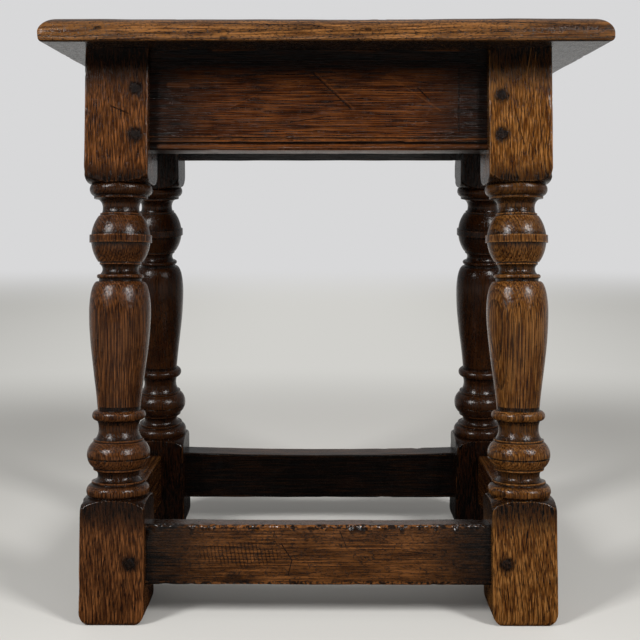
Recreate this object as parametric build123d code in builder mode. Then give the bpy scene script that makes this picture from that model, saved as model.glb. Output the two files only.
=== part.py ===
from build123d import *
import os
from math import cos, radians, sin, sqrt, tan

os.makedirs("parts", exist_ok=True)

# A joined oak stool.  Four turned legs lean in towards the seat at the front and the rear and
# stand upright seen from the front.  Rails and stretchers are tenoned into the legs, each joint
# is held by pegs, and the seat board is pegged down onto the long rails.
# Millimetres.  The front is -Y, up is +Z, and the origin lies on the floor under the middle
# of the seat.

# ------------------------------------------------------------------ the whole stool
leg_height = 480.0             # floor to the underside of the seat
frame_width = 396.0            # across the outer faces of the legs
frame_depth = 224.0            # across the outer faces of the legs, just under the seat
leg_width = 54.0               # side of the square billet that a leg is turned from
rake = 5.0                     # degrees that the legs lean in
seat_overhang = 37.0           # the seat board reaches this far beyond the legs, all round
seat_shift = 6.0               # the seat board sits this far to the right of the frame

# ------------------------------------------------------------------ seat board
seat_thickness = 21.0          # at the foot of the raised field
thumb_width = 16.5             # the thumb moulding round the upper edge
thumb_height = 14.3
margin_fall = 0.6              # the flat margin drops this much towards the moulding
under_round = 3.5              # radius of the lower edge
field_margin = 26.0            # edge of the board to the raised field
field_rise = 1.3

# ------------------------------------------------------------------ leg, square parts
foot_block = 102.2             # height of the foot block, along the leg
top_block = 113.8              # length of the block that takes the rails
shoulder_drop = 7.5            # how far a block's corners fall away from its turned shoulder
arris_round = 1.5              # worn radius of the block corners
sole_bevel = 1.2               # bevel round the sole

# ------------------------------------------------------------------ leg, turned parts
fillet_height = 2.2            # the thin flat between two mouldings
crease_radius = 24.8           # where a block's shoulder meets the bead beside it

base_bead_height = 10.6
base_bead_radius = 26.7
base_fillet_radius = 22.4
base_cove_height = 9.4
base_cove_radius = 17.3
base_lip_radius = 20.2

ball_height = 21.2             # the squat ball above the foot
ball_radius = 26.6
ball_edge_radius = 21.5
ball_fillet_radius = 21.2
score_depth = 0.7              # the line scored round the ball
score_width = 1.0
score_drop = 2.6               # the scored line lies this far under the middle of the ball

neck_height = 15.8
neck_radius = 16.9
neck_lip_radius = 19.6
ring_height = 8.8
ring_radius = 22.6
ring_edge_radius = 18.4

vase_foot_radius = 17.9        # the long vase, slim below and full above
vase_flare = 0.09              # gain in radius for each mm, where it leaves the ring
vase_shoulder = 25.9           # height from the belly to the top of the vase
belly_radius = 26.3
vase_top_radius = 19.4

collar_height = 3.8
collar_radius = 20.0
collar_edge_radius = 18.2
collar_lip_radius = 17.4
collar_cove_height = 8.4
collar_cove_radius = 15.3

globe_height = 39.6            # the ball that carries the raised band
globe_radius = 25.3
globe_edge_radius = 19.0
band_height = 6.6
band_radius = 26.7

throat_height = 12.8           # the hollow under the cap, tighter at its upper side
throat_lip_radius = 16.9
throat_radius = 15.6
throat_low = 4.6               # from the lower lip to the narrowest place
cap_lip_radius = 22.0
cap_fillet_radius = 23.0
cap_bead_height = 10.2
cap_bead_radius = 26.8
lip_radius = 17.8              # the small fillets beside the upper coves

# ------------------------------------------------------------------ rails and stretchers
rail_height = 85.8             # seat to the lower edge of the rails, along the leg
rail_thickness = 24.0
rail_setback = 10.0            # from the face of the leg to the face of the rail
bead_height = 6.0              # the scratched moulding along the lower edge
bead_crown = 1.6
quirk_width = 1.0
line_height = 10.4             # the scored line above the bead
line_width = 0.9
line_depth = 0.7

stretcher_top = 81.5           # height of the stretchers' upper edge, along the leg
stretcher_height = 49.7
stretcher_thickness = 22.8
stretcher_setback = 8.0
stretcher_round = 1.6          # worn radius of the long edges
front_dish = 0.8               # hollow worn into the top by feet
rear_dish = 2.6

# ------------------------------------------------------------------ joints
tenon_thickness = 9.6
tenon_cheek = 8.0              # from the face of a rail or stretcher to its tenon
long_tenon = 36.0              # tenons of the front and rear members
short_tenon = 24.0             # tenons of the side members, which stop short of the long ones
tenon_haunch = 12.0            # the rail tenons stop this far under the seat
mortise_clearance = 0.2

peg_radius = 4.5
peg_length = 35.0
peg_taper = 0.6                # degrees
peg_proud = 0.5
peg_clearance = 0.1
peg_edge = 10.8                # from the inner edge of the leg to a rail peg
upper_peg_drop = 34.4          # head of the leg to the rail pegs, along the leg
lower_peg_drop = 73.8
low_peg_drop = 40.8            # the one upper peg that was bored lower, at the front right
foot_peg = 50.5                # height of the stretcher pegs, along the leg
foot_peg_edge = 11.6

seat_peg_radius = 4.6
seat_peg_reach = 30.0          # how far a seat peg enters the rail
seat_peg_spread = 190.0        # between the two pegs on a rail

# ------------------------------------------------------------------ the frame, worked out
sine = sin(radians(rake))
cosine = cos(radians(rake))
opening = frame_width - 2 * leg_width
frame_x = -seat_shift
face_y = frame_depth / 2 + leg_height * tan(radians(rake))
leg_run = leg_height / cosine            # along the leg, floor to seat
rail_bottom = leg_run - rail_height
seat_length = frame_width + 2 * seat_overhang
seat_width = frame_depth + 2 * seat_overhang
middle = Plane.YZ.offset(frame_x)
seat_level = Plane.XY.offset(leg_height)

LEFT, RIGHT = -1, 1
FRONT, REAR = -1, 1


def on_leg(x, end, depth, height):
    """A point given by its depth behind the outer face of a front or rear leg and by its
    height along that leg."""
    y = end * (face_y - depth * cosine - height * sine)
    return Vector(x, y, height * cosine - depth * sine)


def face_at(end, depth):
    """A plane parallel to the leg's outer face, that looks in towards the middle."""
    return Plane(origin=on_leg(frame_x, end, depth, 0), z_dir=(0, -end * cosine, -sine))


# Sections are drawn as (depth behind the leg's outer face, height).
front_section = Plane(origin=(frame_x, -face_y, 0), x_dir=(0, cosine, -sine), z_dir=(1, 0, 0))
side_section = Plane(origin=(frame_x - frame_width / 2, 0, 0), x_dir=(1, 0, 0), z_dir=(0, -1, 0))
# The front frame seen square on, as (across from the middle, height along the leg).
front_elevation = Plane(origin=(frame_x, -face_y, 0), x_dir=(1, 0, 0), z_dir=(0, -cosine, sine))


# ------------------------------------------------------------------ rails and stretchers
def rail_section(plane, bottom, top):
    """Section of a rail, with a bead, a quirk and a scored line along its lower edge."""
    face = rail_setback
    back = rail_setback + rail_thickness
    bead_top = bottom + bead_height
    line = bottom + line_height
    with BuildSketch(plane) as section:
        with BuildLine():
            ThreePointArc(
                (face + bead_crown, bottom),
                (face, bottom + bead_height / 2),
                (face + bead_crown, bead_top),
            )
            Polyline(
                (face + bead_crown, bead_top),
                (face + bead_crown, bead_top + quirk_width),
                (face, bead_top + quirk_width),
                (face, line - line_width / 2),
                (face + line_depth, line),
                (face, line + line_width / 2),
                (face, top),
                (back, top),
                (back, bottom),
                (face + bead_crown, bottom),
            )
        make_face()
    return section.sketch


def stretcher_outline(bottom, top):
    """Section of a stretcher, with its long edges worn round."""
    with Locations((stretcher_setback + stretcher_thickness / 2, (bottom + top) / 2)):
        RectangleRounded(stretcher_thickness, top - bottom, stretcher_round)


def tenon_outline(setback, bottom, top, slack=0.0):
    """Section of a tenon, or with some slack of the mortise that it enters."""
    with Locations((setback + tenon_cheek + tenon_thickness / 2, (bottom + top) / 2)):
        Rectangle(tenon_thickness + 2 * slack, top - bottom + 2 * slack)


rail_tenon = (rail_setback, rail_bottom, leg_run - tenon_haunch)
stretcher_tenon = (stretcher_setback, stretcher_top - stretcher_height, stretcher_top)


def level(tenon):
    """The same tenon on a side member, whose edges lie level."""
    return tenon[0], tenon[1] * cosine, tenon[2] * cosine


def side_bar(setback, bottom, top, reach, slack=0.0):
    """A tenon right through a side member, its ends cut parallel to the raked legs."""
    with BuildPart() as bar:
        with BuildSketch(side_section):
            tenon_outline(setback, bottom, top, slack)
        extrude(amount=face_y, both=True)
        for end in (FRONT, REAR):
            split(bisect_by=face_at(end, leg_width - reach - slack), keep=Keep.TOP)
    return bar.part


with BuildPart() as front_rail:
    section = rail_section(front_section, rail_bottom, leg_run + rail_thickness)
    extrude(section, amount=opening / 2, both=True)
    with BuildSketch(front_section):
        tenon_outline(*rail_tenon)
    extrude(amount=opening / 2 + long_tenon, both=True)
    split(bisect_by=seat_level, keep=Keep.BOTTOM)

with BuildPart() as left_rail:
    section = rail_section(side_section, rail_bottom * cosine, leg_height)
    extrude(section, amount=face_y, both=True)
    for end in (FRONT, REAR):
        split(bisect_by=face_at(end, leg_width), keep=Keep.TOP)
    add(side_bar(*level(rail_tenon), short_tenon))


def long_stretcher(dish):
    """The front stretcher, with a hollow of this depth worn into its top."""
    half = opening / 2
    with BuildPart() as bar:
        with BuildSketch(front_section):
            stretcher_outline(*stretcher_tenon[1:])
        extrude(amount=half, both=True)
        with BuildSketch(front_elevation):
            with BuildLine():
                ThreePointArc((-half, stretcher_top), (0, stretcher_top - dish), (half, stretcher_top))
                Line((half, stretcher_top), (-half, stretcher_top))
            make_face()
        extrude(amount=leg_width, both=True, mode=Mode.SUBTRACT)
        for side in (LEFT, RIGHT):
            with BuildSketch(front_section.offset(side * half)):
                tenon_outline(*stretcher_tenon)
            extrude(amount=side * long_tenon)
    return bar.part


with BuildPart() as left_stretcher:
    with BuildSketch(side_section):
        stretcher_outline(*level(stretcher_tenon)[1:])
    extrude(amount=face_y, both=True)
    for end in (FRONT, REAR):
        split(bisect_by=face_at(end, leg_width), keep=Keep.TOP)
    add(side_bar(*level(stretcher_tenon), short_tenon))

with BuildPart() as front_stretcher:
    add(long_stretcher(front_dish))

with BuildPart() as rear_stretcher:
    mirror(long_stretcher(rear_dish), about=Plane.XZ)

with BuildPart() as rear_rail:
    mirror(front_rail.part, about=Plane.XZ)

with BuildPart() as right_rail:
    mirror(left_rail.part, about=middle)

with BuildPart() as right_stretcher:
    mirror(left_stretcher.part, about=middle)

# ------------------------------------------------------------------ the turned leg
leg_foot = on_leg(frame_x - (frame_width - leg_width) / 2, FRONT, leg_width / 2, 0)
leg_axis = Axis(leg_foot, (0, sine, cosine))
leg_profile = Plane(origin=leg_foot, x_dir=(1, 0, 0), z_dir=(0, -cosine, sine))
leg_billet = Plane(origin=leg_foot, x_dir=(1, 0, 0), z_dir=(0, sine, cosine))
corner_radius = leg_width / sqrt(2)

# heights from the foot block up
base_bead_top = foot_block + base_bead_height
base_cove_low = base_bead_top + fillet_height
base_cove_top = base_cove_low + base_cove_height
ball_low = base_cove_top + fillet_height
ball_top = ball_low + ball_height
neck_low = ball_top + fillet_height
neck_top = neck_low + neck_height
ring_top = neck_top + ring_height

# heights from the top block down; the vase takes up what is left between the two
cap = leg_run - top_block
cap_bead_low = cap - cap_bead_height
throat_top = cap_bead_low - fillet_height
throat_bottom = throat_top - throat_height
globe_top = throat_bottom - fillet_height
globe_low = globe_top - globe_height
collar_cove_top = globe_low - fillet_height
collar_cove_low = collar_cove_top - collar_cove_height
collar_low = collar_cove_low - collar_height
vase_top = collar_low - fillet_height
belly = vase_top - vase_shoulder

ball_middle = (ball_low + ball_top) / 2
waist = throat_bottom + throat_low
vase_handle = (belly - ring_top) / 3     # a third of the swelling side, which keeps it smooth


def curve(low_radius, low, mid_radius, high_radius, high):
    """A bead, ball or cove: an arc between two heights through its middle radius."""
    ThreePointArc((low_radius, low), (mid_radius, (low + high) / 2), (high_radius, high))


def block_shoulder(height, drop):
    """The rounded shoulder that the turning leaves on a square block."""
    TangentArc((crease_radius, height), (corner_radius, height + drop), tangent=(1, 0))


def fillet_between(low_radius, low, radius, high_radius, high):
    """A thin flat that stands between two mouldings, and may be flush with either."""
    corners = [(low_radius, low), (radius, low), (radius, high), (high_radius, high)]
    Polyline(*dict.fromkeys(corners))


def hollow(lip_radius, waist, depth, rise, start_angle):
    """A quarter of the throat, from its waist to a lip."""
    EllipticalCenterArc((lip_radius, waist), depth, rise, start_angle, arc_size=90)


with BuildPart() as leg_blank:
    with BuildSketch(leg_profile):
        with BuildLine():
            block_shoulder(foot_block, -shoulder_drop)
            curve(crease_radius, foot_block, base_bead_radius, base_fillet_radius, base_bead_top)
            fillet_between(
                base_fillet_radius, base_bead_top, base_fillet_radius, base_lip_radius, base_cove_low
            )
            curve(base_lip_radius, base_cove_low, base_cove_radius, base_lip_radius, base_cove_top)
            fillet_between(
                base_lip_radius, base_cove_top, ball_fillet_radius, ball_edge_radius, ball_low
            )
            curve(ball_edge_radius, ball_low, ball_radius, ball_edge_radius, ball_top)
            fillet_between(
                ball_edge_radius, ball_top, ball_fillet_radius, neck_lip_radius, neck_low
            )
            curve(neck_lip_radius, neck_low, neck_radius, ring_edge_radius, neck_top)
            curve(ring_edge_radius, neck_top, ring_radius, ring_edge_radius, ring_top)
            Line((ring_edge_radius, ring_top), (vase_foot_radius, ring_top))
            Bezier(
                (vase_foot_radius, ring_top),
                (vase_foot_radius + vase_flare * vase_handle, ring_top + vase_handle),
                (belly_radius, belly - vase_handle),
                (belly_radius, belly),
            )
            EllipticalCenterArc(
                (vase_top_radius, belly), belly_radius - vase_top_radius, vase_shoulder
            )
            Polyline(
                (vase_top_radius, vase_top),
                (collar_edge_radius, vase_top),
                (collar_edge_radius, collar_low),
            )
            curve(collar_edge_radius, collar_low, collar_radius, collar_lip_radius, collar_cove_low)
            curve(
                collar_lip_radius,
                collar_cove_low,
                collar_cove_radius,
                collar_lip_radius,
                collar_cove_top,
            )
            fillet_between(
                collar_lip_radius, collar_cove_top, lip_radius, globe_edge_radius, globe_low
            )
            curve(globe_edge_radius, globe_low, globe_radius, globe_edge_radius, globe_top)
            fillet_between(
                globe_edge_radius, globe_top, lip_radius, throat_lip_radius, throat_bottom
            )
            hollow(throat_lip_radius, waist, throat_lip_radius - throat_radius, throat_low, 180)
            hollow(cap_lip_radius, waist, cap_lip_radius - throat_radius, throat_top - waist, 90)
            fillet_between(
                cap_lip_radius, throat_top, cap_fillet_radius, cap_fillet_radius, cap_bead_low
            )
            curve(cap_fillet_radius, cap_bead_low, cap_bead_radius, crease_radius, cap)
            block_shoulder(cap, shoulder_drop)
            Polyline(
                (corner_radius, cap + shoulder_drop),
                (corner_radius, leg_run + leg_width),
                (0, leg_run + leg_width),
                (0, -leg_width),
                (corner_radius, -leg_width),
                (corner_radius, foot_block - shoulder_drop),
            )
        make_face()
        with Locations((band_radius / 2, (globe_low + globe_top) / 2)):
            Rectangle(band_radius, band_height)
        with Locations((ball_radius - score_depth + score_width, ball_middle - score_drop)):
            Rectangle(2 * score_width, score_width, mode=Mode.SUBTRACT)
    revolve(axis=leg_axis)
    with BuildSketch(leg_billet.offset(-leg_width)):
        RectangleRounded(leg_width, leg_width, arris_round)
    extrude(amount=leg_run + 2 * leg_width, mode=Mode.INTERSECT)
    split(bisect_by=Plane.XY, keep=Keep.TOP)
    split(bisect_by=seat_level, keep=Keep.BOTTOM)
    chamfer(leg_blank.edges().group_by(Axis.Z)[0], length=sole_bevel)
    with BuildSketch(front_section.offset(-opening / 2)):
        tenon_outline(*rail_tenon, mortise_clearance)
        tenon_outline(*stretcher_tenon, mortise_clearance)
    extrude(amount=-(long_tenon + mortise_clearance), mode=Mode.SUBTRACT)
    add(side_bar(*level(rail_tenon), short_tenon, mortise_clearance), mode=Mode.SUBTRACT)
    add(side_bar(*level(stretcher_tenon), short_tenon, mortise_clearance), mode=Mode.SUBTRACT)

with BuildPart() as right_leg_blank:
    mirror(leg_blank.part, about=middle)

# ------------------------------------------------------------------ seat board
field_level = leg_height + seat_thickness + field_rise


def seat_section(plane, across):
    """Section of the seat board, moulded at both ends, with the field raised between them."""
    edge = across / 2
    upper = leg_height + seat_thickness
    crown = upper - margin_fall
    with BuildSketch(plane) as section:
        with BuildLine() as outline:
            Line((0, leg_height), (edge - under_round, leg_height))
            TangentArc(
                (edge - under_round, leg_height), (edge, leg_height + under_round), tangent=(1, 0)
            )
            Line((edge, leg_height + under_round), (edge, crown - thumb_height))
            EllipticalCenterArc(
                (edge - thumb_width, crown - thumb_height), thumb_width, thumb_height
            )
            Polyline(
                (edge - thumb_width, crown),
                (edge - field_margin, upper),
                (edge - field_margin, field_level),
                (0, field_level),
            )
            mirror(outline.line, about=Plane.YZ)
        make_face()
    return section.sketch


with BuildPart() as seat_blank:
    extrude(seat_section(Plane.XZ, seat_length), amount=seat_width, both=True)
    extrude(
        seat_section(Plane.YZ, seat_width), amount=seat_length, both=True, mode=Mode.INTERSECT
    )


# ------------------------------------------------------------------ pegs and their bores
def long_joint(side, end, edge, heights):
    """Where the pegs of a front or rear member enter a leg, each looking along its bore."""
    x = frame_x + side * (opening / 2 + edge)
    return [
        Plane(origin=on_leg(x, end, 0, height), z_dir=(0, -end * cosine, -sine))
        for height in heights
    ]


def side_joint(side, end, edge, heights):
    """Where the pegs of a side member enter a leg through its outer side."""
    x = frame_x + side * frame_width / 2
    return [
        Plane(origin=on_leg(x, end, leg_width - edge, height), z_dir=(-side, 0, 0))
        for height in heights
    ]


def pegs(planes, radius, length):
    """Riven pegs, shaved to eight sides and a slight taper, left a little proud."""
    with BuildPart() as group:
        for plane in planes:
            with BuildSketch(plane.offset(-peg_proud)):
                RegularPolygon(radius, 8)
            extrude(amount=length + peg_proud, taper=peg_taper)
    return group.part


def bored(blank, planes, radius, length):
    """The piece with a bore for each peg."""
    with BuildPart() as piece:
        add(blank)
        for plane in planes:
            with BuildSketch(plane):
                Circle(radius + peg_clearance)
            extrude(amount=length + peg_clearance, mode=Mode.SUBTRACT)
    return piece.part


def write(part, name):
    part.label = name
    export_step(part, f"parts/{name}.step")


ends = {"front": FRONT, "rear": REAR}
sides = {"left": LEFT, "right": RIGHT}
bores = {}

for end_name, end in ends.items():
    for side_name, side in sides.items():
        leg = f"{end_name}_{side_name}_leg"
        lower = leg_run - lower_peg_drop
        upper = long_upper = leg_run - upper_peg_drop
        if (end, side) == (FRONT, RIGHT):
            long_upper = leg_run - low_peg_drop
        joints = {
            (f"{end_name}_rail", side_name, "pegs"):
                long_joint(side, end, peg_edge, [long_upper, lower]),
            (f"{side_name}_rail", end_name, "pegs"):
                side_joint(side, end, peg_edge, [upper, lower]),
            (f"{end_name}_stretcher", side_name, "peg"):
                long_joint(side, end, foot_peg_edge, [foot_peg]),
            (f"{side_name}_stretcher", end_name, "peg"):
                side_joint(side, end, foot_peg_edge, [foot_peg]),
        }
        for (member, place, word), planes in joints.items():
            write(pegs(planes, peg_radius, peg_length), f"{member}_{place}_{word}")
            bores.setdefault(member, []).extend(planes)
            bores.setdefault(leg, []).extend(planes)

pieces = {
    "front_rail": front_rail.part,
    "rear_rail": rear_rail.part,
    "left_rail": left_rail.part,
    "right_rail": right_rail.part,
    "front_stretcher": front_stretcher.part,
    "rear_stretcher": rear_stretcher.part,
    "left_stretcher": left_stretcher.part,
    "right_stretcher": right_stretcher.part,
    "front_left_leg": leg_blank.part,
    "front_right_leg": right_leg_blank.part,
    "rear_left_leg": mirror(leg_blank.part, about=Plane.XZ, mode=Mode.PRIVATE),
    "rear_right_leg": mirror(right_leg_blank.part, about=Plane.XZ, mode=Mode.PRIVATE),
}

# The seat pegs go straight down through the board into the middle of the long rails.
rail_middle = rail_setback + rail_thickness / 2
rail_head = (leg_height + rail_middle * sine) / cosine
seat_pegs = [
    Plane(
        origin=on_leg(frame_x + side * seat_peg_spread / 2, end, rail_middle, rail_head)
        + Vector(0, 0, field_level - leg_height),
        z_dir=(0, 0, -1),
    )
    for end in (FRONT, REAR)
    for side in (LEFT, RIGHT)
]
seat_peg_length = field_level - leg_height + seat_peg_reach

for name, blank in pieces.items():
    piece = bored(blank, bores[name], peg_radius, peg_length)
    if name in ("front_rail", "rear_rail"):
        piece = bored(piece, seat_pegs, seat_peg_radius, seat_peg_length)
    write(piece, name)

write(bored(seat_blank.part, seat_pegs, seat_peg_radius, seat_peg_length), "seat_top")
write(pegs(seat_pegs, seat_peg_radius, seat_peg_length), "seat_pegs")
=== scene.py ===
# %% [markdown]
# # A joined oak stool, dressed
#
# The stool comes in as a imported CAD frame.  It is an English joint stool: riven oak, turned legs,
# moulded rails, pegs and no glue, waxed and handled for three hundred years.  This lesson gives
# it its looks in Blender: the wear of every piece and the finish of old waxed oak.

# %% Load the frame
from math import acos, ceil, cos, dist, hypot, pi, radians, sin, tan

import bmesh
import bpy
import numpy as np
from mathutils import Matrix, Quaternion, Vector


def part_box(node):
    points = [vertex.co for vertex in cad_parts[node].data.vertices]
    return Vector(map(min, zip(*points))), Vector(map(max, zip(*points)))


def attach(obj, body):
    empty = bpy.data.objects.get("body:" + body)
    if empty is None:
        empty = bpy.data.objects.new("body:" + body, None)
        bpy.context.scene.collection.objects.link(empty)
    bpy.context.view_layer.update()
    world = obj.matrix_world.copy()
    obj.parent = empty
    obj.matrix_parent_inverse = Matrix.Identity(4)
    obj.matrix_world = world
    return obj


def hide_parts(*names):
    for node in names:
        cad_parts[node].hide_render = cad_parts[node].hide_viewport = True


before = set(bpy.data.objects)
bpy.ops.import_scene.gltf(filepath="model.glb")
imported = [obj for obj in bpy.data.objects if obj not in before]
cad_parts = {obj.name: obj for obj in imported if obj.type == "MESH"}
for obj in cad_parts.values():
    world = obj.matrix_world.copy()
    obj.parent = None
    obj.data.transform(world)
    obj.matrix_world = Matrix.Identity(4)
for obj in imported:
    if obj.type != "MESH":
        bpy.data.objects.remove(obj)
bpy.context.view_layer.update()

# %% [markdown]
# ## The camera
#
# The stool is seen square on from a little above its middle, with a rather long lens that keeps
# the front frame almost flat.  The lens is shifted, as on a view camera, so that the legs stay
# upright in the picture although the camera hardly tilts.

# %% Camera
MM = 0.001

camera_data = bpy.data.cameras.new("camera")
camera_data.lens = 59.25
camera_data.sensor_width = 36.0
camera_data.shift_y = -0.133
camera = bpy.data.objects.new("camera", camera_data)
camera.location = (-0.45 * MM, -1008.9 * MM, 352.2 * MM)
camera.rotation_euler = (radians(90 - 1.97), 0, radians(0.27))
bpy.context.scene.collection.objects.link(camera)
bpy.context.scene.camera = camera

# %% [markdown]
# ## Ways of working
#
# Every piece starts as a line or a simple solid, and is shaped in edit mode by the operators that
# a person would use.  An operator acts on whatever is selected, so these helpers select one
# piece, or the points, edges or faces of it that pass a rule.

# %% Select, extrude and face outwards
def alone(piece):
    """Selects one piece and nothing else."""
    bpy.ops.object.select_all(action="DESELECT")
    piece.select_set(True)
    bpy.context.view_layer.objects.active = piece
    return piece


def start(primitive, name, **sizes):
    """Adds a primitive, alone, as the start of a piece."""
    bpy.ops.object.select_all(action="DESELECT")
    primitive(**sizes)
    piece = bpy.context.active_object
    piece.name = piece.data.name = name
    return piece


def twin(piece):
    """A copy with its own mesh."""
    copy = piece.copy()
    copy.data = piece.data.copy()
    bpy.context.scene.collection.objects.link(copy)
    return copy


def edit(piece):
    """Opens the piece in edit mode, with all of it selected."""
    alone(piece)
    bpy.ops.object.mode_set(mode="EDIT")
    bpy.ops.mesh.select_all(action="SELECT")


def pick(piece, kind, rule):
    """In edit mode, selects the VERT, EDGE or FACE elements that pass the rule."""
    bpy.ops.mesh.select_mode(type=kind)
    bpy.ops.mesh.select_all(action="DESELECT")
    mesh = bmesh.from_edit_mesh(piece.data)
    elements = {"VERT": mesh.verts, "EDGE": mesh.edges, "FACE": mesh.faces}[kind]
    for element in elements:
        element.select = rule(element)
    mesh.select_flush_mode()
    bmesh.update_edit_mesh(piece.data)


def extrude(step):
    """Draws what is selected out by a step."""
    bpy.ops.mesh.extrude_region_move(TRANSFORM_OT_translate={"value": step})


def face_outwards(piece):
    """Turns the piece's faces outwards, and leaves edit mode."""
    if piece.mode == "OBJECT":
        edit(piece)
    bpy.ops.mesh.select_all(action="SELECT")
    bpy.ops.mesh.normals_make_consistent(inside=False)
    bpy.ops.object.mode_set(mode="OBJECT")


# %% Read and move points
def read(elements, what, width, kind=float):
    """A property of a mesh's points or edges, as one row for each."""
    flat = np.empty(len(elements) * width, dtype=kind)
    elements.foreach_get(what, flat)
    return flat.reshape(-1, width)


def points_of(piece):
    return read(piece.data.vertices, "co", 3)


def move_points(piece, x, y, z):
    piece.data.vertices.foreach_set("co", np.stack([x, y, z], axis=1).ravel())
    piece.data.update()


# %% Lines
CORNER = radians(25)        # a line that turns more than this has a corner


def wire(name, points):
    """Draws an open line through points, by extruding one point along it.  Left in edit mode."""
    piece = start(bpy.ops.mesh.primitive_plane_add, name, size=MM, location=(0, 0, 0))
    edit(piece)
    bpy.ops.mesh.merge(type="CENTER")
    here = Vector(points[0])
    bpy.ops.transform.translate(value=here)
    for point in points[1:]:
        extrude(Vector(point) - here)
        here = Vector(point)
    return piece


def finer(points, step):
    """The same line with points added, so that no stretch is longer than the step."""
    fine = [points[0]]
    for start, end in zip(points, points[1:]):
        count = max(1, ceil(dist(start, end) / step))
        for i in range(1, count + 1):
            fine.append(tuple(a + (b - a) * (i / count) for a, b in zip(start, end)))
    return fine


def sharp(vertex):
    """True at a corner of a line."""
    if len(vertex.link_edges) != 2:
        return False
    one, two = [edge.other_vert(vertex).co - vertex.co for edge in vertex.link_edges]
    return pi - one.angle(two) > CORNER


def soften_corners(piece, width, clamp=False):
    """Rounds the corners of a line a little, as handling does."""
    pick(piece, "VERT", sharp)
    bpy.ops.mesh.bevel(offset=width, affect="VERTICES", segments=3, clamp_overlap=clamp)
    bpy.ops.mesh.select_all(action="SELECT")


# %% [markdown]
# ## The leg's sizes
#
# A leg is one length of oak, 54 mm square, left square where the rails and stretchers enter it
# and turned between.  The frame gives its height and place.  The turner worked from a marked
# rod, so here the turned part is a list of mouldings from the foot up, each with its height and
# its radius below, in the middle and above.  The long vase takes up what is left between the
# lower and the upper mouldings.

# %% Sizes taken from the frame, in metres
rake = radians(5)
leg_low, leg_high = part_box("front_left_leg")
leg_width = leg_high.x - leg_low.x
leg_height = leg_high.z
half_depth = leg_width / cos(rake) - leg_high.y      # outer face, just under the seat
face_y = half_depth + leg_height * tan(rake)         # outer face, on the floor
leg_run = leg_height / cos(rake)
frame_x = (leg_low.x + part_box("front_right_leg")[1].x) / 2
half_opening = frame_x - leg_high.x
foot_block = 102.2 * MM
top_block = 113.8 * MM
block = leg_run - top_block                          # where the top block starts
print(f"leg {leg_width / MM:.1f} mm square, {leg_run / MM:.1f} mm along the rake")

# %% The turner's rod, in millimetres
shoulder_drop = 9.0
crease_radius = 24.8
corner_radius = leg_width / 2 ** 0.5 / MM
fillet = 2.2

lower_mouldings = [
    ("base bead", 10.6, 24.8, 26.7, 22.4),
    ("base fillet", fillet, 22.4, 22.4, 22.4),
    ("base cove", 9.4, 20.2, 17.3, 20.2),
    ("ball fillet", fillet, 21.2, 21.2, 21.2),
    ("squat ball", 21.2, 21.5, 26.6, 21.5),
    ("neck fillet", fillet, 21.2, 21.2, 21.2),
    ("neck", 15.8, 19.6, 16.9, 18.4),
    ("ring", 8.8, 18.4, 22.6, 18.4),
]
upper_mouldings = [
    ("vase fillet", fillet, 18.2, 18.2, 18.2),
    ("collar", 3.8, 18.2, 20.0, 17.4),
    ("collar cove", 8.4, 17.4, 15.3, 17.4),
    ("globe fillet", fillet, 17.8, 17.8, 17.8),
    ("banded globe", 39.6, 19.0, 25.3, 19.0),
    ("throat fillet", fillet, 17.8, 17.8, 17.8),
    ("throat", 12.8, 16.9, 15.6, 22.0),
    ("cap fillet", fillet, 23.0, 23.0, 23.0),
    ("cap bead", 10.2, 23.0, 26.8, 24.8),
]
vase_foot_radius = 17.9
vase_top_radius = 19.4
belly_radius = 26.3
vase_shoulder = 25.9
vase_flare = 0.09
band_height = 6.6
band_radius = 26.7
band_step = 1.4
throat_waist = 4.6
score_drop = 2.6
score_width = 1.0
score_depth = 0.7

# %% [markdown]
# ## Outline of the turning
#
# A turned moulding's section is an arc, hollow for a cove and full for a bead, so each one is
# drawn as the circle through its two ends and its middle.  Three mouldings need more: the banded
# globe has a raised fillet round its middle, the squat ball has a line scored round it, and the
# throat is hollowed low down and then flares.

# %% Arcs
ARC_STEP = 0.8


def quarter(count):
    """Turns from nothing to a right angle."""
    return np.linspace(0, pi / 2, count)


def arc(start, middle, end):
    """Points of the circle through three points, or of the line if they are in a row."""
    points = np.array([start, middle, end])
    chords = points[1:] - points[0]
    if abs(np.linalg.det(chords)) < 1e-6:
        return finer([start, end], ARC_STEP)
    squares = (points ** 2).sum(axis=1)
    centre = np.linalg.solve(2 * chords, squares[1:] - squares[0])
    radius = dist(start, centre)
    x, y = (points - centre).T
    first, _, last = np.unwrap(np.arctan2(y, x))
    count = max(4, ceil(radius * abs(last - first) / ARC_STEP))
    return [
        (centre[0] + radius * cos(turn), centre[1] + radius * sin(turn))
        for turn in np.linspace(first, last, count + 1)
    ]


def radius_at(points, height):
    """The radius of a line of points at a height."""
    return float(np.interp(height, [h for _, h in points], [r for r, _ in points]))


# %% One moulding
def between(line, under, over, points):
    """The line with the stretch between two heights drawn anew."""
    lower = [p for p in line if p[1] < under] + [(radius_at(line, under), under)]
    upper = [(radius_at(line, over), over)] + [p for p in line if p[1] > over]
    return lower + points + upper


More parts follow.
